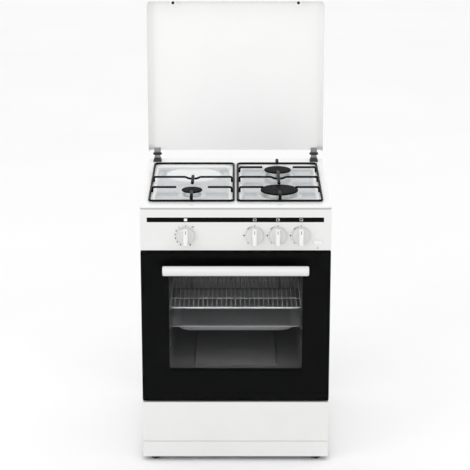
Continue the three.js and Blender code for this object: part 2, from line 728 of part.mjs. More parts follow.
add("oven_liner", ovenLiner(), greyEnamel);
add("oven_floor_plate", ovenFloorPlate(), greyEnamel);
add("oven_burner", uTube(70, 150, 470, 272, 8), polishedSteel);
add("grill_burner", uTube(120, 110, 476, 648, 7), polishedSteel);
add("oven_lamp_lens", lampLens(), clearGlass, [178, CAVITY.back - GAP, 592]);
add("thermostat_probe", thermostatProbe(), polishedSteel, [107, CAVITY.back - 6.6, 523]);
add("wire_shelf", wireShelf(), polishedSteel);
add("baking_tray", bakingTray(), greyEnamel);
add("door_seal", doorSeal(), rubber);

add("hob_top", hobTop(), whiteEnamel);
for (const [word, burner] of Object.entries(BURNERS)) {
  add(`burner_body_${word}`, burnerBody(burner), castAluminium, [burner.x, burner.y, 0]);
  add(`burner_cap_${word}`, burnerCap(burner), blackEnamel, [burner.x, burner.y, CAP_UNDERSIDE]);
  add(`spark_electrode_${word}`, electrode(), ceramic, [...electrodePlace(burner), BASIN_FLOOR]);
}

add("control_panel", controlPanel(), whiteEnamel);
add("gas_rail", gasRail(), brass);
add("gas_inlet", gasInlet(), galvanised, [GAS_INLET.x, 0, KNOB_Z]);
add("ignition_button", ignitionButton(), whitePlastic);
for (const [word, x] of Object.entries(KNOB_X)) {
  add(`tap_spindle_${word}`, spindle(), brass, [x, 0, KNOB_Z]);
  add(`knob_${word}`, knob(), whitePlastic, [x, 0, KNOB_Z]);
}

add("door_glass", doorGlass(), darkGlass);
add("door_frame", doorFrame(), galvanised);
add("door_inner_glass", doorInnerGlass(), clearGlass);
add("door_handle", doorHandle(), whitePlastic);

add("lid_panel", lidPanel(), whiteEnamel);

const part = new THREE.Group();
part.add(range);

export default part;
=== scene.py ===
# Looks of a freestanding gas range: enamel, glass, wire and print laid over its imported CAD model.
import bpy
import bmesh
import math
import numpy as np
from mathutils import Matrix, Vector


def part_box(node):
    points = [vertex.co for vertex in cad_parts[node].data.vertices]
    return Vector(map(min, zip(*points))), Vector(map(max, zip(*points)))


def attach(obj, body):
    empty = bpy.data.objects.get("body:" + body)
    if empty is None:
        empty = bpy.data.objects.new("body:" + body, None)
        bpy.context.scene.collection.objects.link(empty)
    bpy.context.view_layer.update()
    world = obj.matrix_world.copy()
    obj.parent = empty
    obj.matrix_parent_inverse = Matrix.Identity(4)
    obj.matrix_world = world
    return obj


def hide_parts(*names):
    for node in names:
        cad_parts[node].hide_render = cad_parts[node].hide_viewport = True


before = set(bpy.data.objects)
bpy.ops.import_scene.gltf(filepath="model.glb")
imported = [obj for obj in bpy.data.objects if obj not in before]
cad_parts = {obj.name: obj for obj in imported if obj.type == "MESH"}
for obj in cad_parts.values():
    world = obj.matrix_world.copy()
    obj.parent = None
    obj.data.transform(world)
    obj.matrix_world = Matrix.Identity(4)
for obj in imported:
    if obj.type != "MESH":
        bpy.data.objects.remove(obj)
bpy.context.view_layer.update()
print("frame loaded")


def hexColour(text, alpha=1.0):
    # sRGB hex to linear RGBA
    channels = [int(text[i:i + 2], 16) / 255 for i in (1, 3, 5)]
    linear = [c / 12.92 if c <= 0.04045 else ((c + 0.055) / 1.055) ** 2.4 for c in channels]
    return (*linear, alpha)


def addNode(tree, kind, settings=None, values=None, links=None):
    # one node with its settings, its unlinked values and its incoming links
    node = tree.nodes.new(kind)
    for key, value in (settings or {}).items():
        setattr(node, key, value)
    for key, value in (values or {}).items():
        node.inputs[key].default_value = value
    for key, source in (links or {}).items():
        tree.links.new(source, node.inputs[key])
    return node


def newMaterial(name):
    material = bpy.data.materials.new(name)
    material.use_nodes = True
    tree = material.node_tree
    tree.nodes.clear()
    place = addNode(tree, "ShaderNodeTexCoord").outputs["Object"]
    return material, tree, place


def surfaceShader(tree, values, links=None):
    shader = addNode(tree, "ShaderNodeBsdfPrincipled", values=values, links=links)
    addNode(tree, "ShaderNodeOutputMaterial", links={"Surface": shader.outputs["BSDF"]})
    return shader


def noiseField(tree, place, sizeMm, detail=2.0):
    # a noise whose lumps are about sizeMm across
    values = {"Scale": 1000 / sizeMm, "Detail": detail}
    return addNode(tree, "ShaderNodeTexNoise", values=values, links={"Vector": place}).outputs["Fac"]


def twoTone(tree, factor, low, high, dark, light):
    # factor below low gives dark, above high gives light
    ramp = addNode(tree, "ShaderNodeValToRGB", links={"Fac": factor})
    ramp.color_ramp.elements[0].position = low
    ramp.color_ramp.elements[0].color = hexColour(dark)
    ramp.color_ramp.elements[1].position = high
    ramp.color_ramp.elements[1].color = hexColour(light)
    return ramp.outputs["Color"]


def bumpFrom(tree, height, heightMm):
    values = {"Strength": 1.0, "Distance": heightMm / 1000}
    return addNode(tree, "ShaderNodeBump", values=values, links={"Height": height}).outputs["Normal"]


finishes = {
    # name: two tones, roughness, metallic, the mottle's and the grain's size in mm, the grain's height in mm
    # split is where the second tone starts and is full, and specular under 0.5 takes the shine down
    "bright white lid enamel": dict(  # fused glass: a softly glossy white, a shade brighter than the hob's
        tones=("#f5f5f4", "#f6f6f5"), rough=0.18, mottle=90, grain=2.5, height=0.004),
    "white powder coat": dict(  # baked on: an even satin white with a trace of orange peel
        tones=("#e6e6e5", "#e8e8e7"), rough=0.3, mottle=120, grain=1.6, height=0.006),
    "white moulded thermoset": dict(  # pressed in a polished mould: clean and satin
        tones=("#ededec", "#efefee"), rough=0.26, mottle=30, grain=0.8, height=0.004),
    "white thermoset in painted shade": dict(  # the grip's moulding, duller and in a greyer tone of painted shade, so that a skirt stands out from its grip and panel
        tones=("#d6d6d5", "#d9d9d8"), rough=0.35, mottle=30, grain=0.8, height=0.004),
    "matt black enamel on wire": dict(  # dipped and fired: a slightly lumpy black with little shine
        tones=("#060607", "#0d0d0e"), rough=0.45, mottle=6, grain=1.2, height=0.02, specular=0.12),
    "speckled black enamel": dict(  # dull black with small grey specks
        tones=("#030303", "#17181a"), rough=0.6, mottle=2.2, grain=1.1, height=0.03,
        split=(0.56, 0.72), specular=0.08),
    "black powder coat": dict(  # an even satin black
        tones=("#0d0e0f", "#121314"), rough=0.5, mottle=20, grain=0.9, height=0.008, specular=0.25),
    "grey oven enamel": dict(  # mid grey with pale specks, between satin and gloss
        tones=("#4f4f50", "#6e6e6f"), rough=0.34, mottle=1.8, grain=2.0, height=0.01, split=(0.6, 0.75)),
    "oven enamel in painted groove shade": dict(  # the oven's enamel in a darker tone: painted shade that stands for a groove
        tones=("#29292a", "#323233"), rough=0.5, mottle=3, grain=1.4, height=0.01, specular=0.2),
    "cast aluminium": dict(  # pale metal with the soft sheen of a blasted casting
        tones=("#c3c4c5", "#d6d7d8"), rough=0.36, metal=1.0, mottle=4, grain=0.7, height=0.03),
    # darker and less metallic than real chrome, which burns out beside the light in the oven's mouth
    "chromed wire": dict(
        tones=("#7c7d7f", "#88898b"), rough=0.34, metal=0.35, mottle=12, grain=3, height=0.004),
    "zinc coated sheet": dict(  # dull metal in patches of slightly different grey
        tones=("#9a9da0", "#b4b7ba"), rough=0.42, metal=0.9, mottle=9, grain=5, height=0.006),
    "machined brass": dict(  # yellow metal, fairly bright
        tones=("#b3924f", "#c6a563"), rough=0.3, metal=1.0, mottle=5, grain=0.6, height=0.006),
    "black rubber": dict(  # almost no shine
        tones=("#17181a", "#222325"), rough=0.72, mottle=8, grain=0.6, height=0.02),
    "black moulded nylon": dict(  # a satin black with a fine moulded texture
        tones=("#1b1c1d", "#26272a"), rough=0.48, mottle=12, grain=0.5, height=0.015),
    "grey moulded hinge plastic": dict(  # a satin mid grey
        tones=("#8a8c8e", "#96989a"), rough=0.4, mottle=8, grain=0.5, height=0.01),
    "glazed alumina": dict(  # a glossy ivory white
        tones=("#ece7dc", "#f4f0e6"), rough=0.22, mottle=5, grain=1.2, height=0.01),
    "black ceramic print": dict(  # fired on to the glass: deep black with hardly a highlight
        tones=("#050506", "#080809"), rough=0.3, mottle=30, grain=1.0, height=0.002, specular=0.06),
    "grey pad print": dict(  # thin matt ink
        tones=("#2c2e31", "#34363a"), rough=0.5, mottle=3, grain=0.4, height=0.002),
    "white pad print": dict(  # thin matt ink
        tones=("#e9e9e8", "#f3f3f2"), rough=0.5, mottle=3, grain=0.4, height=0.002),
    "pale studio floor": dict(  # matt paper
        tones=("#f8f8f8", "#fafafa"), rough=0.9, mottle=900, grain=40, height=0.01),
}


def finishMaterial(name):
    # an opaque finish: a mottle between two close tones, and a fine grain in the surface
    facts = finishes[name]
    material, tree, place = newMaterial(name)
    low, high = facts.get("split", (0.35, 0.65))
    tone = twoTone(tree, noiseField(tree, place, facts["mottle"]), low, high, *facts["tones"])
    grain = bumpFrom(tree, noiseField(tree, place, facts["grain"], 3.0), facts["height"])
    values = {"Roughness": facts["rough"], "Metallic": facts.get("metal", 0.0)}
    values["Specular IOR Level"] = facts.get("specular", 0.5)
    surfaceShader(tree, values, {"Base Color": tone, "Normal": grain})
    return material


def glassMaterial(name, tint, alpha):
    # sheet glass: a dark or pale tint, a mirror-smooth face and a slow, slight waviness
    material, tree, place = newMaterial(name)
    wave = bumpFrom(tree, noiseField(tree, place, 160), 0.01)
    values = {"Base Color": hexColour(tint), "Alpha": alpha, "Roughness": 0.03, "IOR": 1.52}
    values["Specular IOR Level"] = 0.12  # most of the room's reflection is held back
    surfaceShader(tree, values, {"Normal": wave})
    return material


def heightTones(name, bands, rough):
    # a smooth white finish whose tones by height are painted shade and a painted highlight, given as heights in
    # mm and their tones
    material, tree, place = newMaterial(name)
    height = addNode(tree, "ShaderNodeSeparateXYZ", links={"Vector": place}).outputs["Z"]
    low, high = bands[0][0], bands[-1][0]
    span = {"From Min": low / 1000, "From Max": high / 1000}
    share = addNode(tree, "ShaderNodeMapRange", values=span, links={"Value": height})
    ramp = addNode(tree, "ShaderNodeValToRGB", links={"Fac": share.outputs["Result"]})
    elements = ramp.color_ramp.elements
    for index, (level, tone) in enumerate(bands):
        position = (level - low) / (high - low)
        element = elements[index] if index in (0, 1) else elements.new(position)
        element.position = position
        element.color = hexColour(tone)
    grain = bumpFrom(tree, noiseField(tree, place, 2.5, 3.0), 0.004)
    surfaceShader(tree, {"Roughness": rough}, {"Base Color": ramp.outputs["Color"], "Normal": grain})
    return material


materials = {name: finishMaterial(name) for name in finishes}
# painted shade and highlight: these tones stand in for darker surroundings, which an all white studio doesn't
# reflect; the hob is greyer down in its basins, and the handle's bar is lightest between its lower and upper
# edges and darker towards both
shadedFinishes = {
    "gloss white enamel over a pressing": dict(
        bands=((848.0, "#c6cacd"), (849.6, "#ccd0d2"), (852.2, "#e8eaea"), (857.0, "#f2f2f1")), rough=0.14),
    "satin white moulded bar": dict(
        bands=((642.0, "#c9c9c8"), (650.0, "#dcdcdb"), (664.0, "#ebebea"), (675.0, "#d6d6d5")), rough=0.35),
}
glasses = {
    "tinted door glass": dict(tint="#0c0d0e", alpha=0.22),
    "clear toughened glass": dict(tint="#1c1e1e", alpha=0.08),
    "frosted lamp glass": dict(tint="#e6e9e8", alpha=0.6),
}
materials.update({name: heightTones(name, **facts) for name, facts in shadedFinishes.items()})
materials.update({name: glassMaterial(name, **facts) for name, facts in glasses.items()})
print("materials made")


def gridFaces(rows, columns, wrapRows=False, wrapColumns=False):
    # four corner indices of every cell of a rows x columns grid
    rowIndex = np.arange(rows if wrapRows else rows - 1)
    columnIndex = np.arange(columns if wrapColumns else columns - 1)
    a, b = np.meshgrid(rowIndex, columnIndex, indexing="ij")
    nextA, nextB = (a + 1) % rows, (b + 1) % columns
    corners = [a * columns + b, nextA * columns + b, nextA * columns + nextB, a * columns + nextB]
    return np.stack([c.ravel() for c in corners], axis=1)


def surfaceOf(grid, wrapRows=False, wrapColumns=False, capEnds=False):
    # a grid of points (rows, columns, 3) in mm as points and faces; capEnds closes the first and last row
    rows, columns = grid.shape[:2]
    faces = gridFaces(rows, columns, wrapRows, wrapColumns).tolist()
    if capEnds:
        faces.append(list(range(columns)))
        faces.append(list(range(rows * columns - 1, (rows - 1) * columns - 1, -1)))
    return grid.reshape(-1, 3), faces


def makePiece(name, surfaces, material, body, sharp=32, replaced=()):
    # joins surfaces given in mm into one mesh in metres that rides on a body
    points, faces, start = [], [], 0
    for surfacePoints, surfaceFaces in surfaces:
        points.append(surfacePoints)
        faces.extend([[i + start for i in face] for face in surfaceFaces])
        start += len(surfacePoints)
    mesh = bpy.data.meshes.new(name)
    mesh.from_pydata((np.concatenate(points) / 1000).tolist(), [], faces)
    mesh.validate()
    outwards(mesh)
    mesh.polygons.foreach_set("use_smooth", np.ones(len(mesh.polygons), dtype=bool))
    mesh.set_sharp_from_angle(angle=math.radians(sharp))
    piece = bpy.data.objects.new(name, mesh)
    bpy.context.scene.collection.objects.link(piece)
    mesh.materials.append(materials[material])
    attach(piece, body)
    if replaced:
        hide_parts(*replaced)
    return piece


def outwards(mesh):
    # merges doubled points and turns every face outwards
    work = bmesh.new()
    work.from_mesh(mesh)
    bmesh.ops.remove_doubles(work, verts=work.verts, dist=1e-6)
    bmesh.ops.recalc_face_normals(work, faces=work.faces)
    work.to_mesh(mesh)
    work.free()


def roundedOutline(x0, x1, z0, z1, radius, steps=8):
    # a rounded rectangle as (n, 2) points: four quarter circles, counter-clockwise from the lower right
    left, right, low, high = x0 + radius, x1 - radius, z0 + radius, z1 - radius
    centres = np.array([[right, low], [right, high], [left, high], [left, low]])
    angles = np.radians(np.array([-90, 0, 90, 180])[:, None] + np.linspace(0, 90, steps)[None, :])
    arcs = np.stack([np.cos(angles), np.sin(angles)], axis=2) * radius + centres[:, None, :]
    return arcs.reshape(-1, 2)


def roundedPrism(box, radius, edge, axis="y", steps=8, edgeSteps=4):
    # a rounded rectangle carried along one axis, drawn in along a quarter circle at both ends
    xSpan, ySpan, zSpan = box
    spans = {"x": (ySpan, zSpan, xSpan), "y": (xSpan, zSpan, ySpan), "z": (xSpan, ySpan, zSpan)}
    (a0, a1), (b0, b1), (c0, c1) = spans[axis]
    turn = np.linspace(0, np.pi / 2, edgeSteps)
    insets = np.concatenate([edge * (1 - np.sin(turn)), edge * (1 - np.sin(turn[::-1]))])
    along = np.concatenate([c0 + edge * (1 - np.cos(turn)), c1 - edge * (1 - np.cos(turn[::-1]))])
    rows = []
    for inset, c in zip(insets, along):
        corner = max(radius - inset, 0.05)
        a, b = roundedOutline(a0 + inset, a1 - inset, b0 + inset, b1 - inset, corner, steps).T
        depth = np.full(len(a), c)
        order = {"x": (depth, a, b), "y": (a, depth, b), "z": (a, b, depth)}
        rows.append(np.stack(order[axis], axis=1))
    return surfaceOf(np.array(rows), wrapColumns=True, capEnds=True)


def framePlate(outer, inner, y0, y1):
    # a flat plate between an outer and an inner outline of equally many points, closed round its section
    loops = [(outer, y0), (inner, y0), (inner, y1), (outer, y1)]
    rows = [np.stack([loop[:, 0], np.full(len(loop), y), loop[:, 1]], axis=1) for loop, y in loops]
    return surfaceOf(np.array(rows), wrapRows=True, wrapColumns=True)


def turnedSurface(profile, centre, segments=64, axis="z"):
    # a profile of (radius, height) pairs carried round an axis, from its lower pole to its upper one
    profile = np.array(profile, dtype=float)
    angle = np.linspace(0, 2 * np.pi, segments, endpoint=False)
    radial = profile[:, 0][:, None]
    along = np.broadcast_to(profile[:, 1][:, None], (len(profile), segments))
    a, b = radial * np.cos(angle), radial * np.sin(angle)
    parts = (a, b, along) if axis == "z" else (a, along, b)
    return surfaceOf(np.stack(parts, axis=2) + np.array(centre, dtype=float), wrapColumns=True, capEnds=True)


def filleted(points, radius, steps=6):
    # a path of straight runs whose corners are replaced by quadratic curves
    points = np.array(points, dtype=float)
    path = [points[0]]
    t = np.linspace(0, 1, steps)[:, None]
    for before, corner, after in zip(points[:-2], points[1:-1], points[2:]):
        a = corner + (before - corner) / np.linalg.norm(before - corner) * radius
        b = corner + (after - corner) / np.linalg.norm(after - corner) * radius
        path.extend((1 - t) ** 2 * a + 2 * t * (1 - t) * corner + t ** 2 * b)
    path.append(points[-1])
    return np.array(path)


def wire(path, radius, normal, closed=False, sides=12, bulge=0.6):
    # a circle carried along a flat path; normal is square to the path's plane; an open end is a dome that
    # reaches out by bulge times the radius
    path, normal = np.array(path, dtype=float), np.array(normal, dtype=float)
    before = np.roll(path, 1, axis=0) if closed else np.vstack([path[:1], path[:-1]])
    after = np.roll(path, -1, axis=0) if closed else np.vstack([path[1:], path[-1:]])
    tangent = after - before
    tangent /= np.linalg.norm(tangent, axis=1)[:, None]
    size = np.full(len(path), radius)
    if not closed:
        turn = np.radians([75, 50, 25])
        head, tail = tangent[0], tangent[-1]
        start = path[0] - head * radius * bulge * np.sin(turn)[:, None]
        end = path[-1] + tail * radius * bulge * np.sin(turn[::-1])[:, None]
        path = np.vstack([start, path, end])
        tangent = np.vstack([np.tile(head, (3, 1)), tangent, np.tile(tail, (3, 1))])
        size = np.concatenate([radius * np.cos(turn), size, radius * np.cos(turn[::-1])])
    side = np.cross(tangent, normal)
    angle = np.linspace(0, 2 * np.pi, sides, endpoint=False)
    cosine, sine = np.cos(angle)[None, :, None], np.sin(angle)[None, :, None]
    ring = side[:, None, :] * cosine + normal[None, None, :] * sine
    points = path[:, None, :] + ring * size[:, None, None]
    return surfaceOf(points, wrapRows=closed, wrapColumns=True, capEnds=not closed)


def corners(node):
    # a CAD node's lowest and highest corner, in mm
    low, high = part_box(node)
    return np.array(low) * 1000, np.array(high) * 1000


def centreOf(node):
    low, high = corners(node)
    return (low + high) / 2


def dress(material, *names):
    # a finish for CAD nodes that keep their own shape
    for name in names:
        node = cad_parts[name]
        node.data.materials.clear()
        node.data.materials.append(materials[material])


pairs = lambda stem: [f"{stem}_left", f"{stem}_right"]
knobNames = ["oven", "front_left", "rear_right", "front_right"]
burnerNames = ["front_left", "rear_right", "front_right"]
feetNames = ["front_left", "front_right", "rear_left", "rear_right"]

dress("white powder coat", *pairs("side_panel"), "control_panel", "drawer_front", "plinth")
dress("zinc coated sheet", "rear_panel", "base_pan", "drawer_box", *pairs("drawer_runner"), "gas_inlet")
dress("black powder coat", "door_frame")
dress("grey oven enamel", "oven_liner", "oven_floor_plate")
dress("chromed wire", "oven_burner", "grill_burner", "thermostat_probe", *pairs("door_hinge_arm"))
dress("frosted lamp glass", "oven_lamp_lens")
dress("black rubber", "door_seal", *[f"foot_{name}" for name in feetNames], *pairs("lid_bumper"))
dress("machined brass", "gas_rail", *[f"tap_spindle_{name}" for name in knobNames])
dress("glazed alumina", *[f"spark_electrode_{name}" for name in burnerNames])
dress("white moulded thermoset", "ignition_button")
dress("black moulded nylon", "terminal_box")
dress("tinted door glass", "door_glass")
dress("clear toughened glass", "door_inner_glass")
print("CAD nodes dressed")

# lid: a shallow pressed dish, open at its lower edge
lidShape = dict(sheet=1.0, cornerRadius=15, edgeRadius=17.0, plateInset=3, sideSteps=20, topSteps=24)
tabShape = dict(half=12, behind=(0.3, 1.5), below=(17, 3), radius=4)


def lidDish():
    # loops of the outline, which is open at the bottom, are drawn in along a quarter circle from the rim to
    # the flat plate, which is one face
    low, high = corners("lid_panel")
    radius = lidShape["edgeRadius"]
    half, bottom, top = high[0], low[2], high[2]
    front, back = low[1], high[1]
    turn = np.radians(np.linspace(0, 90, 12))
    insets = np.concatenate([[0, 0], radius * (1 - np.cos(turn)), [radius + lidShape["plateInset"]]])
    curved = back - radius + radius * np.sin(turn)
    depths = np.concatenate([[front, (front + back - radius) / 2], curved, [back]])
    rows = []
    for inset, depth in zip(insets, depths):
        corner = max(lidShape["cornerRadius"] - inset, 0.4)
        angle = np.radians(np.linspace(0, 90, 14))
        x = half - inset - corner + corner * np.cos(angle)
        z = top - inset - corner + corner * np.sin(angle)
        up = np.linspace(bottom, z[0], lidShape["sideSteps"])[:-1]
        over = np.linspace(x[-1], -x[-1], lidShape["topSteps"])[1:-1]
        straight = np.full(len(up), half - inset)
        xs = np.concatenate([straight, x, over, -x[::-1], -straight])
        zs = np.concatenate([up, z, np.full(len(over), z[-1]), z[::-1], up[::-1]])
        rows.append(np.stack([xs, np.full(len(xs), depth), zs], axis=1))
    points, faces = surfaceOf(np.array(rows))
    faces.append(list(range(len(points) - len(rows[-1]), len(points))))
    return points, faces


def bumperTabs():
    # a small plate behind each bumper, which reaches up to the lid's top edge
    top, half = corners("lid_panel")[1][2], tabShape["half"]
    (near, far), (lowest, highest) = tabShape["behind"], tabShape["below"]
    tabs = []
    for word in ("left", "right"):
        low, high = corners(f"lid_bumper_{word}")
        x, back = (low[0] + high[0]) / 2, high[1]
        box = ((x - half, x + half), (back + near, back + far), (top - lowest, top - highest))
        tabs.append(roundedPrism(box, tabShape["radius"], 0.2))
    return tabs


lidFinish = "bright white lid enamel"
makePiece("bumper_tabs", bumperTabs(), lidFinish, "lid")
lid = makePiece("lid_dish", [lidDish()], lidFinish, "lid", replaced=["lid_panel"])
plate = max(lid.data.polygons, key=lambda face: face.area)
plate.use_smooth = False  # it shades flat up to its open edge
solidify = lid.modifiers.new("sheet", "SOLIDIFY")
solidify.thickness = lidShape["sheet"] / 1000
solidify.offset = -1

lidHinge = dict(
    pin=5.2, footHalf=14.5, footHeight=12, taper=0.28, neckHalf=9.5, neckDepth=7,
    barrel=4.4, barrelHalf=12.5, tongueHalf=11, tongue=(1.8, 4.6), tongueReach=20)


def lidHingePieces(word):
    # a black foot with a grey neck on the hob, and a dark barrel with a grey tongue that the lid hangs on
    low, high = corners(f"lid_hinge_base_{word}")
    x, y = (low[0] + high[0]) / 2, (low[1] + high[1]) / 2
    z = corners(f"lid_hinge_leaf_{word}")[0][2] + lidHinge["pin"]
    h, rise = lidHinge["footHalf"], lidHinge["footHeight"]
    points, faces = roundedPrism(((x - h, x + h), (low[1], high[1]), (low[2], low[2] + rise)), 4, 1.0, "z")
    share = np.clip((points[:, 2] - low[2]) / rise, 0, 1)[:, None] * lidHinge["taper"]
    points[:, :2] += (np.array([x, y]) - points[:, :2]) * share
    h, deep = lidHinge["neckHalf"], lidHinge["neckDepth"]
    upright = (low[2] + (rise - 1), z - lidHinge["barrel"] - 0.4)
    neck = roundedPrism(((x - h, x + h), (y - deep, y + deep), upright), 2, 0.5, "z")
    r, h = lidHinge["barrel"], lidHinge["barrelHalf"]
    barrel = wire([[x - h, y, z], [x, y, z], [x + h, y, z]], r, (0, 1, 0), sides=24)
    h, (near, far) = lidHinge["tongueHalf"], lidHinge["tongue"]
    tongue = roundedPrism(((x - h, x + h), (y + near, y + far), (z - 1, z + lidHinge["tongueReach"])), 2, 0.4)
    black, grey = "black moulded nylon", "grey moulded hinge plastic"
    base, leaf = [f"lid_hinge_base_{word}"], [f"lid_hinge_leaf_{word}"]
    makePiece(f"lid_hinge_foot_{word}", [(points, faces)], black, "casing", replaced=base)
    makePiece(f"lid_hinge_neck_{word}", [neck], grey, "casing")
    makePiece(f"lid_hinge_barrel_{word}", [barrel], black, "lid", replaced=leaf)
    makePiece(f"lid_hinge_tongue_{word}", [tongue], grey, "lid")


for word in ("left", "right"):
    lidHingePieces(word)
print("lid made")

# hob: one pressing with two basins, collars and a blank
hobShape = dict(
    step=3.2, edge=3.0, flange=8.4, cornerRadius=8, sheet=0.8,
    basinX=138.5, basinY=282.5, basinHalf=(124.5, 223.5), basinDepth=8.8, basinRadius=30, wall=13,
    collar=3.4, collarFoot=15, collarTop=6, blank=4.2, blankRadii=(104, 82))
frontY = corners("door_glass")[0][1]
cookingX, cookingY = 139, (155 + frontY, 405 + frontY)
capRadius = {"front_left": 33, "rear_right": 44, "front_right": 60}
burnerPlace = {name: centreOf(f"burner_cap_{name}")[:2] for name in burnerNames}


def smoothStep(value, low, high):
    share = np.clip((value - low) / (high - low), 0, 1)
    return share * share * (3 - 2 * share)


def hobPressing():
    # a height field: the top less a smooth step inside each basin's rounded rectangle, plus a smooth step
    # inside each collar's circle; the outermost lines fold down round a small edge radius
    low, high = corners("hob_top")
    edge, depth = hobShape["edge"], high[2] - low[2]
    fold = np.radians(np.linspace(90, 0, 5))
    down = edge - edge * np.cos(fold)
    lines = []
    for a, b in ((low[0], high[0]), (low[1], high[1])):
        count = len(np.arange(a + edge, b - edge, hobShape["step"])) + 1
        inner = np.linspace(a + edge, b - edge, count)[1:-1]
        near, far = a + edge - edge * np.sin(fold), b - edge + edge * np.sin(fold[::-1])
        place = np.concatenate([[a], near, inner, far, [b]])
        drop = np.concatenate([[depth], down, np.zeros(len(inner)), down[::-1], [depth]])
        lines.append((place, np.minimum(drop, hobShape["flange"])))
    (xs, dropX), (ys, dropY) = lines
    x, y = np.meshgrid(xs, ys, indexing="ij")
    z = np.full_like(x, high[2])
    halfSize = np.array(hobShape["basinHalf"]) - hobShape["basinRadius"]
    fromMiddle = np.abs(y - (hobShape["basinY"] + frontY))
    for side in (-1, 1):
        away = np.stack([np.abs(x - side * hobShape["basinX"]), fromMiddle], axis=2) - halfSize
        outside = np.hypot(*np.moveaxis(np.maximum(away, 0), 2, 0))
        distance = outside + np.minimum(away.max(axis=2), 0) - hobShape["basinRadius"]
        z -= hobShape["basinDepth"] * smoothStep(-distance, 0, hobShape["wall"])
    for name in burnerNames:
        distance = np.hypot(x - burnerPlace[name][0], y - burnerPlace[name][1])
        foot, top = capRadius[name] + hobShape["collarFoot"], capRadius[name] + hobShape["collarTop"]
        z += hobShape["collar"] * smoothStep(-distance, -foot, -top)
    distance = np.hypot(x + cookingX, y - cookingY[1])
    foot, top = hobShape["blankRadii"]
    z += hobShape["blank"] * smoothStep(-distance, -foot, -top)
    z -= np.maximum(dropX[:, None], dropY[None, :])
    # the four outer corners are rounded by drawing square rings in to circles
    radius = hobShape["cornerRadius"]
    middle = (low + high) / 2
    flatX, flatY = (high - middle - radius)[:2]
    across, along = np.abs(x - middle[0]) - flatX, np.abs(y - middle[1]) - flatY
    inCorner = (across > 0) & (along > 0)
    scale = np.where(inCorner, np.maximum(across, along) / np.maximum(np.hypot(across, along), 1e-9), 1)
    x = np.where(inCorner, middle[0] + np.sign(x - middle[0]) * (flatX + across * scale), x)
    y = np.where(inCorner, middle[1] + np.sign(y - middle[1]) * (flatY + along * scale), y)
    return surfaceOf(np.stack([x, y, z], axis=2))


hobFinish = "gloss white enamel over a pressing"
# the pressing's greyer basins and lighter rim and blank are painted shade
hob = makePiece("hob_pressing", [hobPressing()], hobFinish, "casing", replaced=["hob_top"])
solidify = hob.modifiers.new("sheet", "SOLIDIFY")
solidify.thickness = hobShape["sheet"] / 1000
solidify.offset = -1
print("hob made")

burnerShape = dict(slotsPerMm=0.42, slotDepth=1.6, seat=851.8, inset=4)


def burnerCrown(name):
    # a profile turned round the burner's axis, whose radius dips in a row of narrow upright slots
    radius, seat = capRadius[name] - burnerShape["inset"], burnerShape["seat"]
    top = corners(f"burner_body_{name}")[1][2]
    profile = np.array([
        [0, seat], [radius - 4, seat], [radius, seat + 0.4], [radius + 0.3, seat + 1.6],
        [radius - 1.5, seat + 3.2], [radius - 2, seat + 4.4], [radius - 2, seat + 5.0], [radius - 2, top - 2.6],
        [radius - 2, top - 2.0], [radius - 2.2, top - 0.6], [radius - 3, top], [0, top],
    ])
    count = int(round(radius * 2 * np.pi * burnerShape["slotsPerMm"] / 2)) * 2
    angle = np.linspace(0, 2 * np.pi, count * 6, endpoint=False)
    slot = smoothStep(np.cos(angle * count), 0.2, 0.7)
    inBand = np.zeros(len(profile))
    inBand[6:8] = 1  # the two profile points that bound the slots
    radial = profile[:, 0][:, None] - burnerShape["slotDepth"] * slot[None, :] * inBand[:, None]
    height = np.broadcast_to(profile[:, 1][:, None], radial.shape)
    x, y = burnerPlace[name]
    points = np.stack([x + radial * np.cos(angle), y + radial * np.sin(angle), height], axis=2)
    return surfaceOf(points, wrapColumns=True, capEnds=True)


def burnerCapShape(name):
    # a rounded lip and a shallow dome, turned round the burner's axis
    low, high = corners(f"burner_cap_{name}")
    radius, depth = capRadius[name], high[2] - low[2]
    share = np.linspace(0, 1, 10)
    dome = [(radius - 3 - (radius - 3) * s, low[2] + depth * (0.86 + 0.14 * s ** 0.5)) for s in share]
    lip = np.radians(np.linspace(-80, 70, 9))
    edge = [(radius - 2.2 + 2.2 * np.cos(a), low[2] + depth * 0.43 + depth * 0.42 * np.sin(a)) for a in lip]
    return turnedSurface([(0, low[2]), *edge, *dome], [*burnerPlace[name], 0], 96)


for name in burnerNames:
    crown, cap = [burnerCrown(name)], [burnerCapShape(name)]
    makePiece(f"burner_crown_{name}", crown, "cast aluminium", "casing", 40)
    makePiece(f"enamelled_cap_{name}", cap, "speckled black enamel", "casing",
              replaced=[f"burner_cap_{name}"])
    dress("cast aluminium", f"burner_body_{name}")
print("burners made")

# pan supports: bent and welded round wire
supportShape = dict(
    wire=3.5, deep=3.9, flatness=1.3, frameZ=861.2, topZ=876.4, footZ=861.0, corner=14, bend=7, tip=52,
    dip=5.5, dipTop=24, dipFoot=13, dipBend=5, furtherIn=6, pastMiddle=14)


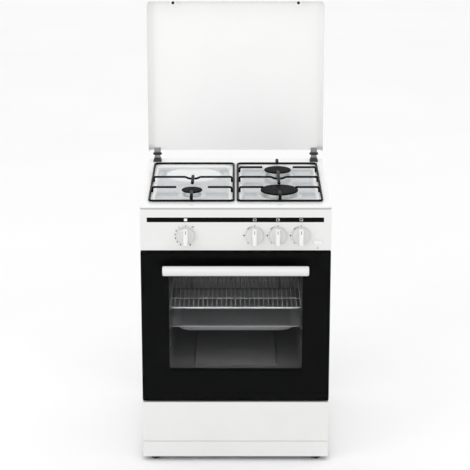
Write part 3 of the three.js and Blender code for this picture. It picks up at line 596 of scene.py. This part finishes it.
def supportWires(word, hasRearBurner):
    # circles carried along the frame's loop and along each bent finger
    low, high = corners(f"pan_support_{word}")
    r = supportShape["wire"]
    x0, x1 = low[0] + r, high[0] - r
    y0, y1 = low[1] + r, high[1] - r
    cx = (x0 + x1) / 2
    outline = roundedOutline(x0, x1, y0, y1, supportShape["corner"], 10)
    frameLoop = np.column_stack([outline, np.full(len(outline), supportShape["frameZ"])])
    wires = [wire(frameLoop, r, (0, 0, 1), closed=True)]
    top, foot, bend, tip = (supportShape[key] for key in ("topZ", "footZ", "bend", "tip"))
    inward = 2 * r - 1
    for y in [cookingY[0]] + ([cookingY[1]] if hasRearBurner else []):
        for edgeX, sign in ((x0, 1), (x1, -1)):
            rise = edgeX + sign * inward
            path = filleted([[rise, y, foot], [rise, y, top], [cx - sign * tip, y, top]], bend)
            wires.append(wire(path, r, (0, 1, 0)))
    # the bar across the middle dips where it passes under the lengthways finger
    middleY, leftX, rightX = sum(cookingY) / 2, x0 + inward, x1 - inward
    dipZ, outer, inner = top - supportShape["dip"], supportShape["dipTop"], supportShape["dipFoot"]
    bar = [[leftX, foot], [leftX, top], [cx - outer, top], [cx - inner, dipZ],
           [cx + inner, dipZ], [cx + outer, top], [rightX, top], [rightX, foot]]
    bar = filleted([[x, middleY, z] for x, z in bar], supportShape["dipBend"])
    wires.append(wire(bar, r, (0, 1, 0)))
    deep, nearY, farY = supportShape["deep"], y0 + inward, y1 - inward
    front = cookingY[0] + tip - supportShape["furtherIn"]
    rear = cookingY[1] - tip if hasRearBurner else middleY + supportShape["pastMiddle"]
    paths = [[[cx, front, top], [cx, middleY, top], [cx, rear, top]]]
    paths.append(filleted([[cx, nearY, foot], [cx, nearY, top], [cx, cookingY[0] - tip, top]], bend))
    if hasRearBurner:
        paths.append(filleted([[cx, farY, foot], [cx, farY, top], [cx, cookingY[1] + tip, top]], bend))
    lengthways = [wire(path, deep, (1, 0, 0)) for path in paths]
    for points, _ in lengthways:
        points[:, 0] = cx + (points[:, 0] - cx) * supportShape["flatness"]
    return wires + lengthways


for word in ("left", "right"):
    wires = supportWires(word, hasRearBurner=word == "right")
    makePiece(f"wire_support_{word}", wires, "matt black enamel on wire", f"{word}_pan_support",
              50, replaced=[f"pan_support_{word}"])
print("pan supports made")

knobShape = dict(
    grip=19.0, gripHeight=52.4, gripRadius=4.5, gripEdge=1.6, root=7, ridge=0.55,
    markWidth=1.8, markLength=11, markTop=4)


def knobSurfaces(name):
    # a turned skirt with a soft edge, and a bar across it that narrows from its root to its ridge
    low, high = corners(f"knob_{name}")
    x, z = (low[0] + high[0]) / 2, (low[2] + high[2]) / 2
    back, radius = high[1], (high[0] - low[0]) / 2
    skirt = [
        (0, 0), (radius - 0.6, 0), (radius, 0.8), (radius, 3.4),
        (radius - 0.5, 5.6), (radius - 1.8, 7.2), (radius - 4, 8), (0, 8.3)]
    disc = turnedSurface([(r, back - h) for r, h in skirt], (x, 0, z), 96, axis="y")
    half, tall, root = knobShape["grip"] / 2, knobShape["gripHeight"] / 2, back - knobShape["root"]
    box = ((x - half, x + half), (low[1], root), (z - tall, z + tall))
    points, faces = roundedPrism(box, knobShape["gripRadius"], knobShape["gripEdge"])
    share = (points[:, 1] - low[1]) / (root - low[1])
    points[:, 0] = x + (points[:, 0] - x) * (knobShape["ridge"] + (1 - knobShape["ridge"]) * share)
    return disc, (points, faces)


def indexLine(name):
    # a thin raised line at the top of the grip, which shows the knob's setting
    low, high = corners(f"knob_{name}")
    x, top, y = (low[0] + high[0]) / 2, high[2] - knobShape["markTop"], low[1]
    half = knobShape["markWidth"] / 2
    return roundedPrism(((x - half, x + half), (y, y + 0.4), (top - knobShape["markLength"], top)), 0.5, 0.05)


for name in knobNames:
    body = f"{name}_knob"
    disc, bar = knobSurfaces(name)
    # the skirt's greyer tone than its grip is painted shade
    makePiece(f"knob_skirt_{name}", [disc], "white thermoset in painted shade", body, 40,
              replaced=[f"knob_{name}"])
    makePiece(f"knob_grip_{name}", [bar], "white moulded thermoset", body, 40)
    makePiece(f"index_line_{name}", [indexLine(name)], "grey pad print", body)

handleShape = dict(
    squareness=0.62, halfDepth=7, endRounding=4.0, endShrink=0.35,
    footX=196, footWidth=26, footStart=11, footSpan=(3, 17))


def handleSurfaces():
    # a squared-off ellipse carried along the bar and drawn in at both ends, on two feet
    low, high = corners("door_handle")
    angle = np.linspace(0, 2 * np.pi, 48, endpoint=False)
    power = lambda value: np.sign(value) * np.abs(value) ** handleShape["squareness"]
    turn = np.radians(np.linspace(0, 90, 7))
    deep, drawn, end = handleShape["halfDepth"], handleShape["endShrink"], handleShape["endRounding"]
    shrink = np.concatenate([np.sin(turn), np.sin(turn[::-1])]) * drawn + (1 - drawn)
    along = np.concatenate([low[0] + end * (1 - np.cos(turn)), high[0] - end * (1 - np.cos(turn[::-1]))])
    middleY, middleZ, halfHeight = low[1] + deep, (low[2] + high[2]) / 2, (high[2] - low[2]) / 2
    rows = np.stack(np.broadcast_arrays(
        along[:, None],
        middleY + deep * shrink[:, None] * power(np.cos(angle))[None, :],
        middleZ + halfHeight * shrink[:, None] * power(np.sin(angle))[None, :],
    ), axis=2)
    bar = surfaceOf(rows, wrapColumns=True, capEnds=True)
    half, (footLow, footHigh) = handleShape["footWidth"] / 2, handleShape["footSpan"]
    feet = []
    for x in (-handleShape["footX"], handleShape["footX"]):
        upright = (low[2] + footLow, low[2] + footHigh)
        box = ((x - half, x + half), (low[1] + handleShape["footStart"], high[1]), upright)
        feet.append(roundedPrism(box, 4, 0.6))
    return [bar, *feet]


# the bar's darker edges and lighter middle are painted shade and a painted highlight
makePiece("moulded_handle", handleSurfaces(), "satin white moulded bar", "door", 40,
          replaced=["door_handle"])

stripShape = dict(x=(-277, 275), z=(805.5, 820.5), proud=0.25)
panelY = corners("control_panel")[0][1]


def flatPrint(box2, thickness=0.12, lift=0.0, radius=0.3):
    # a thin layer of print on the panel, given by its spans in X and Z
    across, upright = box2
    front = panelY - lift
    box = (across, (front - thickness, front + 0.05), upright)
    return roundedPrism(box, radius, 0.02, steps=4, edgeSteps=2)


strip = flatPrint((stripShape["x"], stripShape["z"]), stripShape["proud"])
makePiece("control_strip", [strip], "black ceramic print", "casing")


def tiltedTick(cx, cz, width, length, angle, lift=0.0):
    # a small flat bar, turned about the Y axis by angle
    points, faces = flatPrint(((-width / 2, width / 2), (-length / 2, length / 2)), 0.12, lift)
    c, s = math.cos(angle), math.sin(angle)
    x, y, z = points.T
    return np.column_stack([cx + x * c + z * s, y, cz - x * s + z * c]), faces


def printedDot(cx, cz, radius, lift=0.0):
    # a thin round layer of print
    front = panelY - lift
    profile = [(0, front - 0.12), (radius, front - 0.1), (radius, panelY), (0, panelY)]
    return turnedSurface(profile, (cx, 0, cz), 20, "y")


def printedDigit(text, cx, cz, height, lift=0.0):
    # a digit as a thin solid, centred on its place, and a little bolder than its font
    curve = bpy.data.curves.new("digit", "FONT")
    curve.body = text
    curve.size = height * 1.4  # a font's size is about 1.4 times its digits' height
    curve.extrude = 0.05
    curve.offset = 0.22
    curve.align_x, curve.align_y = "CENTER", "CENTER"
    curve.resolution_u = 3
    holder = bpy.data.objects.new("digit", curve)
    bpy.context.scene.collection.objects.link(holder)
    mesh = bpy.data.meshes.new_from_object(holder)
    flat = np.empty(len(mesh.vertices) * 3)
    mesh.vertices.foreach_get("co", flat)
    x, up, out = flat.reshape(-1, 3).T
    faces = [list(p.vertices) for p in mesh.polygons]
    bpy.data.objects.remove(holder)
    bpy.data.meshes.remove(mesh)
    return np.column_stack([cx + x, panelY - lift - 0.05 - out, cz + up]), faces


dialShape = dict(
    dotRing=31.5, ring=33.6, digit=6.2, dot=1.6, flame=1.5, flameRing=33, wedgeRing=30.5,
    grillAngle=-40, grillRing=35)
ovenTurns = {"1": 38, "2": 62, "3": 84, "4": 106, "5": 128, "6": 152, "7": 178, "8": 204}


def roundKnob(name):
    # gives the place at an angle in degrees, anticlockwise from the top, and a distance from a knob's axis
    x, z = centreOf(f"knob_{name}")[[0, 2]]

    def place(angle, radius):
        turn = math.radians(angle)
        return x - radius * math.sin(turn), z + radius * math.cos(turn)
    return place


def ovenDial():
    # a dot at off, numbers at nearly even turns anticlockwise from it, and a grill sign on the other side
    place = roundKnob("oven")
    marks = [printedDot(*place(0, dialShape["dotRing"]), dialShape["dot"])]
    for digit, angle in ovenTurns.items():
        marks.append(printedDigit(digit, *place(angle, dialShape["ring"]), dialShape["digit"]))
    cx, cz = place(dialShape["grillAngle"], dialShape["grillRing"])
    for step in range(4):
        marks.append(tiltedTick(cx - 3 + step * 2, cz, 0.9, 3.6, 0.6 if step % 2 else -0.6))
    marks.append(tiltedTick(cx, cz + 2.8, 0.9, 9, math.pi / 2))
    return marks


def burnerDial(name):
    # a dot at off, a widening wedge, a big flame at a quarter turn and a dot at the end
    place = roundKnob(name)
    marks = [printedDot(*place(0, dialShape["dotRing"]), dialShape["dot"])]
    for angle in np.arange(14, 48, 2.2):
        length = 0.7 + (angle - 14) * 0.05
        marks.append(tiltedTick(*place(angle, dialShape["wedgeRing"]), 1.5, length, math.radians(-angle)))
    for turn in range(3):
        flame = place(90, dialShape["flameRing"])
        marks.append(tiltedTick(*flame, dialShape["flame"], 5.2, turn * math.pi / 3))
    marks.append(printedDot(*place(140, dialShape["dotRing"]), dialShape["dot"]))
    return marks


makePiece("oven_dial_print", ovenDial(), "grey pad print", "casing")
for name in knobNames[1:]:
    makePiece(f"burner_dial_print_{name}", burnerDial(name), "grey pad print", "casing")


iconShape = dict(
    half=(5, 4.4), inner=(4.2, 3.6), marked=1.3, plain=0.55,
    burners={"front_left": (-2, -1.7), "front_right": (2, -1.7), "rear_right": (2, 1.7)})


def stripIcon(name):
    # a small outline of the hob with one burner marked, or a plain square for the oven
    x, z = centreOf(f"knob_{name}")[0], sum(stripShape["z"]) / 2
    lift = stripShape["proud"]
    (wide, tall), (innerWide, innerTall) = iconShape["half"], iconShape["inner"]
    if name == "oven":
        return [flatPrint(((x - wide, x + wide), (z - tall, z + tall)), 0.1, lift, 0.8)]
    outer = roundedOutline(x - wide, x + wide, z - tall, z + tall, 0.8, 4)
    inner = roundedOutline(x - innerWide, x + innerWide, z - innerTall, z + innerTall, 0.4, 4)
    outline = framePlate(outer, inner, panelY - lift - 0.1, panelY - lift)
    dots = []
    for burner, (dx, dz) in iconShape["burners"].items():
        size = iconShape["marked" if burner == name else "plain"]
        dots.append(printedDot(x + dx, z + dz, size, lift))
    return [outline, *dots]


icons = [surface for name in knobNames for surface in stripIcon(name)]
makePiece("strip_icons", icons, "white pad print", "casing")

sparkShape = dict(below=12, width=0.7, length=5.5)
sparkX, sparkZ = centreOf("ignition_button")[0], corners("ignition_button")[0][2] - sparkShape["below"]
rays = [turn * math.pi / 3 for turn in range(3)]
spark = [tiltedTick(sparkX, sparkZ, sparkShape["width"], sparkShape["length"], ray) for ray in rays]
makePiece("spark_sign", spark, "grey pad print", "casing")
print("controls made")

# door print: the black border behind the outer glass
doorPrint = dict(window=(-211.5, 211.5, 305, 651), radius=6, margin=0.3)


def doorBorder():
    # a thin black layer behind the glass, with the window left clear
    low, high = corners("door_glass")
    margin, radius = doorPrint["margin"], doorPrint["radius"]
    outer = roundedOutline(low[0] + margin, high[0] - margin, low[2] + margin, high[2] - margin, radius, 8)
    inner = roundedOutline(*doorPrint["window"], radius, 8)
    return framePlate(outer, inner, high[1] + 0.05, high[1] + 0.2)


makePiece("door_glass_print", [doorBorder()], "black ceramic print", "door")
print("door made")

shelfShape = dict(rail=3.0, rod=1.35, rods=27, firstRod=18, stay=1.4, stayPlace=100)
trayShape = dict(sheet=0.9, lip=3.0, slope=17, floorRadius=30)


def shelfWires():
    # a loop of rail, two stays across just under its middle, and a row of rods from front to back over them
    low, high = corners("wire_shelf")
    r, thin, stay = shelfShape["rail"], shelfShape["rod"], shelfShape["stay"]
    z = (low[2] + high[2]) / 2
    outline = roundedOutline(low[0] + r, high[0] - r, low[1] + r, high[1] - r, 12, 8)
    wires = [wire(np.column_stack([outline, np.full(len(outline), z)]), r, (0, 0, 1), closed=True)]
    for y in (low[1] + shelfShape["stayPlace"], high[1] - shelfShape["stayPlace"]):
        wires.append(wire([[low[0] + r, y, z - 1], [0, y, z - 1], [high[0] - r, y, z - 1]], stay, (0, 1, 0)))
    first, over = shelfShape["firstRod"], z + 1.4
    for x in np.linspace(low[0] + first, high[0] - first, shelfShape["rods"]):
        rod = [[x, low[1] + r, over], [x, 0, over], [x, high[1] - r, over]]
        wires.append(wire(rod, thin, (1, 0, 0), sides=8))
    return wires


def traySheet():
    # loops of a rounded rectangle: the lip, the sloping wall and the floor, shrinking to the middle
    low, high = corners("baking_tray")
    slope, lip = trayShape["slope"], high[2] - trayShape["lip"]
    floorZ = low[2] + 0.2
    # each level is a distance in from the edge, a height and a corner radius
    levels = [(0, lip, 14), (0, high[2], 14), (6, high[2], 14), (13, high[2] - 0.5, 16), (15, lip, 18)]
    levels += [(15 + slope * s, lip + (floorZ + 2 - lip) * s, 18 + 10 * s) for s in (0.33, 0.66, 1.0)]
    levels += [(15 + slope + 3, floorZ, trayShape["floorRadius"])]
    rows = []
    for inset, z, radius in levels:
        outline = roundedOutline(low[0] + inset, high[0] - inset, low[1] + inset, high[1] - inset, radius, 10)
        rows.append(np.column_stack([outline, np.full(len(outline), z)]))
    middle, flat = np.array([0, (low[1] + high[1]) / 2, floorZ]), rows[-1]
    rows.extend(flat + (middle - flat) * share for share in (0.5, 1.0))
    return surfaceOf(np.array(rows), wrapColumns=True)


linerPad = dict(halfWidth=149, z=(390, 566), radius=45, raised=2.4, groove=6.5, behindMouth=438.8)


def linerPadPieces():
    # the raised pad on the oven's back wall, and a thin dark band of painted shade that stands for the groove
    # round it
    back = corners("oven_liner")[0][1] + linerPad["behindMouth"]
    half, (z0, z1), radius, wide = (linerPad[key] for key in ("halfWidth", "z", "radius", "groove"))
    pad = roundedPrism(((-half, half), (back - linerPad["raised"], back + 0.2), (z0, z1)), radius, 2.0)
    outer = roundedOutline(-half - wide, half + wide, z0 - wide, z1 + wide, radius + wide, 12)
    inner = roundedOutline(1 - half, half - 1, z0 + 1, z1 - 1, radius - 1, 12)
    band = framePlate(outer, inner, back - 0.3, back + 0.1)
    makePiece("back_wall_pad", [pad], "grey oven enamel", "casing")
    makePiece("back_wall_groove_shade", [band], "oven enamel in painted groove shade", "casing")


linerPadPieces()
makePiece("chromed_shelf", shelfWires(), "chromed wire", "casing", 50,
          replaced=["wire_shelf"])
tray = makePiece("enamelled_tray", [traySheet()], "grey oven enamel", "casing", 50,
                 replaced=["baking_tray"])
solidify = tray.modifiers.new("sheet", "SOLIDIFY")
solidify.thickness = trayShape["sheet"] / 1000
print("shelf and tray made")

studio = dict(
    floor=40.0, world=1.0, cameraBack=5.30, cameraHeight=2.370, pitch=16.86, lens=136.0, offset=-0.0022)
softBoxes = {
    "overhead_softbox": dict(place=(0.4, -0.6, 4.2), aim=(0, 0.1, 0.8), size=(3.0, 2.0), power=10),
    "left_softbox": dict(place=(-3.2, -3.0, 2.4), aim=(0, 0, 0.6), size=(1.6, 2.6), power=20),
    "right_softbox": dict(place=(3.4, -2.6, 1.8), aim=(0, 0, 0.6), size=(1.2, 2.4), power=2),
}
ovenFill = dict(size=(0.40, 0.27), height=0.50, behindMouth=0.008, power=3.0)

floorMesh = bpy.data.meshes.new("floor")
reach = studio["floor"]
square = [(-reach, -reach, 0), (reach, -reach, 0), (reach, reach, 0), (-reach, reach, 0)]
floorMesh.from_pydata(square, [], [(0, 1, 2, 3)])
floorMesh.materials.append(materials["pale studio floor"])
floor = bpy.data.objects.new("studio_floor", floorMesh)
bpy.context.scene.collection.objects.link(floor)


def areaLight(name, size, power):
    light = bpy.data.lights.new(name, "AREA")
    light.shape = "RECTANGLE"
    light.size, light.size_y = size
    light.energy = power
    holder = bpy.data.objects.new(name, light)
    bpy.context.scene.collection.objects.link(holder)
    return holder


def softBox(name, place, aim, size, power):
    # a large soft light at place, turned to face aim
    holder = areaLight(name, size, power)
    holder.location = place
    direction = np.array(aim) - np.array(place)
    tilt = math.acos(-direction[2] / np.linalg.norm(direction))
    holder.rotation_euler = (tilt, 0, math.atan2(direction[1], direction[0]) - math.pi / 2)


def fillOven():
    # a studio light, not a part of the range: broad and soft, in the oven's mouth, unseen itself
    holder = areaLight("oven_fill", ovenFill["size"], ovenFill["power"])
    mouthY = corners("oven_liner")[0][1] / 1000
    holder.location = (0, mouthY + ovenFill["behindMouth"], ovenFill["height"])
    holder.rotation_euler = (math.radians(90), 0, 0)
    holder.visible_camera = False
    holder.visible_glossy = False


for name, facts in softBoxes.items():
    softBox(name, **facts)
fillOven()

world = bpy.data.worlds.new("pale studio")
world.use_nodes = True
world.node_tree.nodes["Background"].inputs["Color"].default_value = (1, 1, 1, 1)
world.node_tree.nodes["Background"].inputs["Strength"].default_value = studio["world"]
bpy.context.scene.world = world
bpy.context.scene.view_settings.view_transform = "Standard"

cameraData = bpy.data.cameras.new("camera")
cameraData.sensor_width = 36
cameraData.lens = studio["lens"]
camera = bpy.data.objects.new("camera", cameraData)
bpy.context.scene.collection.objects.link(camera)
camera.location = (studio["offset"], frontY / 1000 - studio["cameraBack"], studio["cameraHeight"])
camera.rotation_euler = (math.radians(90 - studio["pitch"]), 0, 0)
bpy.context.scene.camera = camera
print("studio ready")
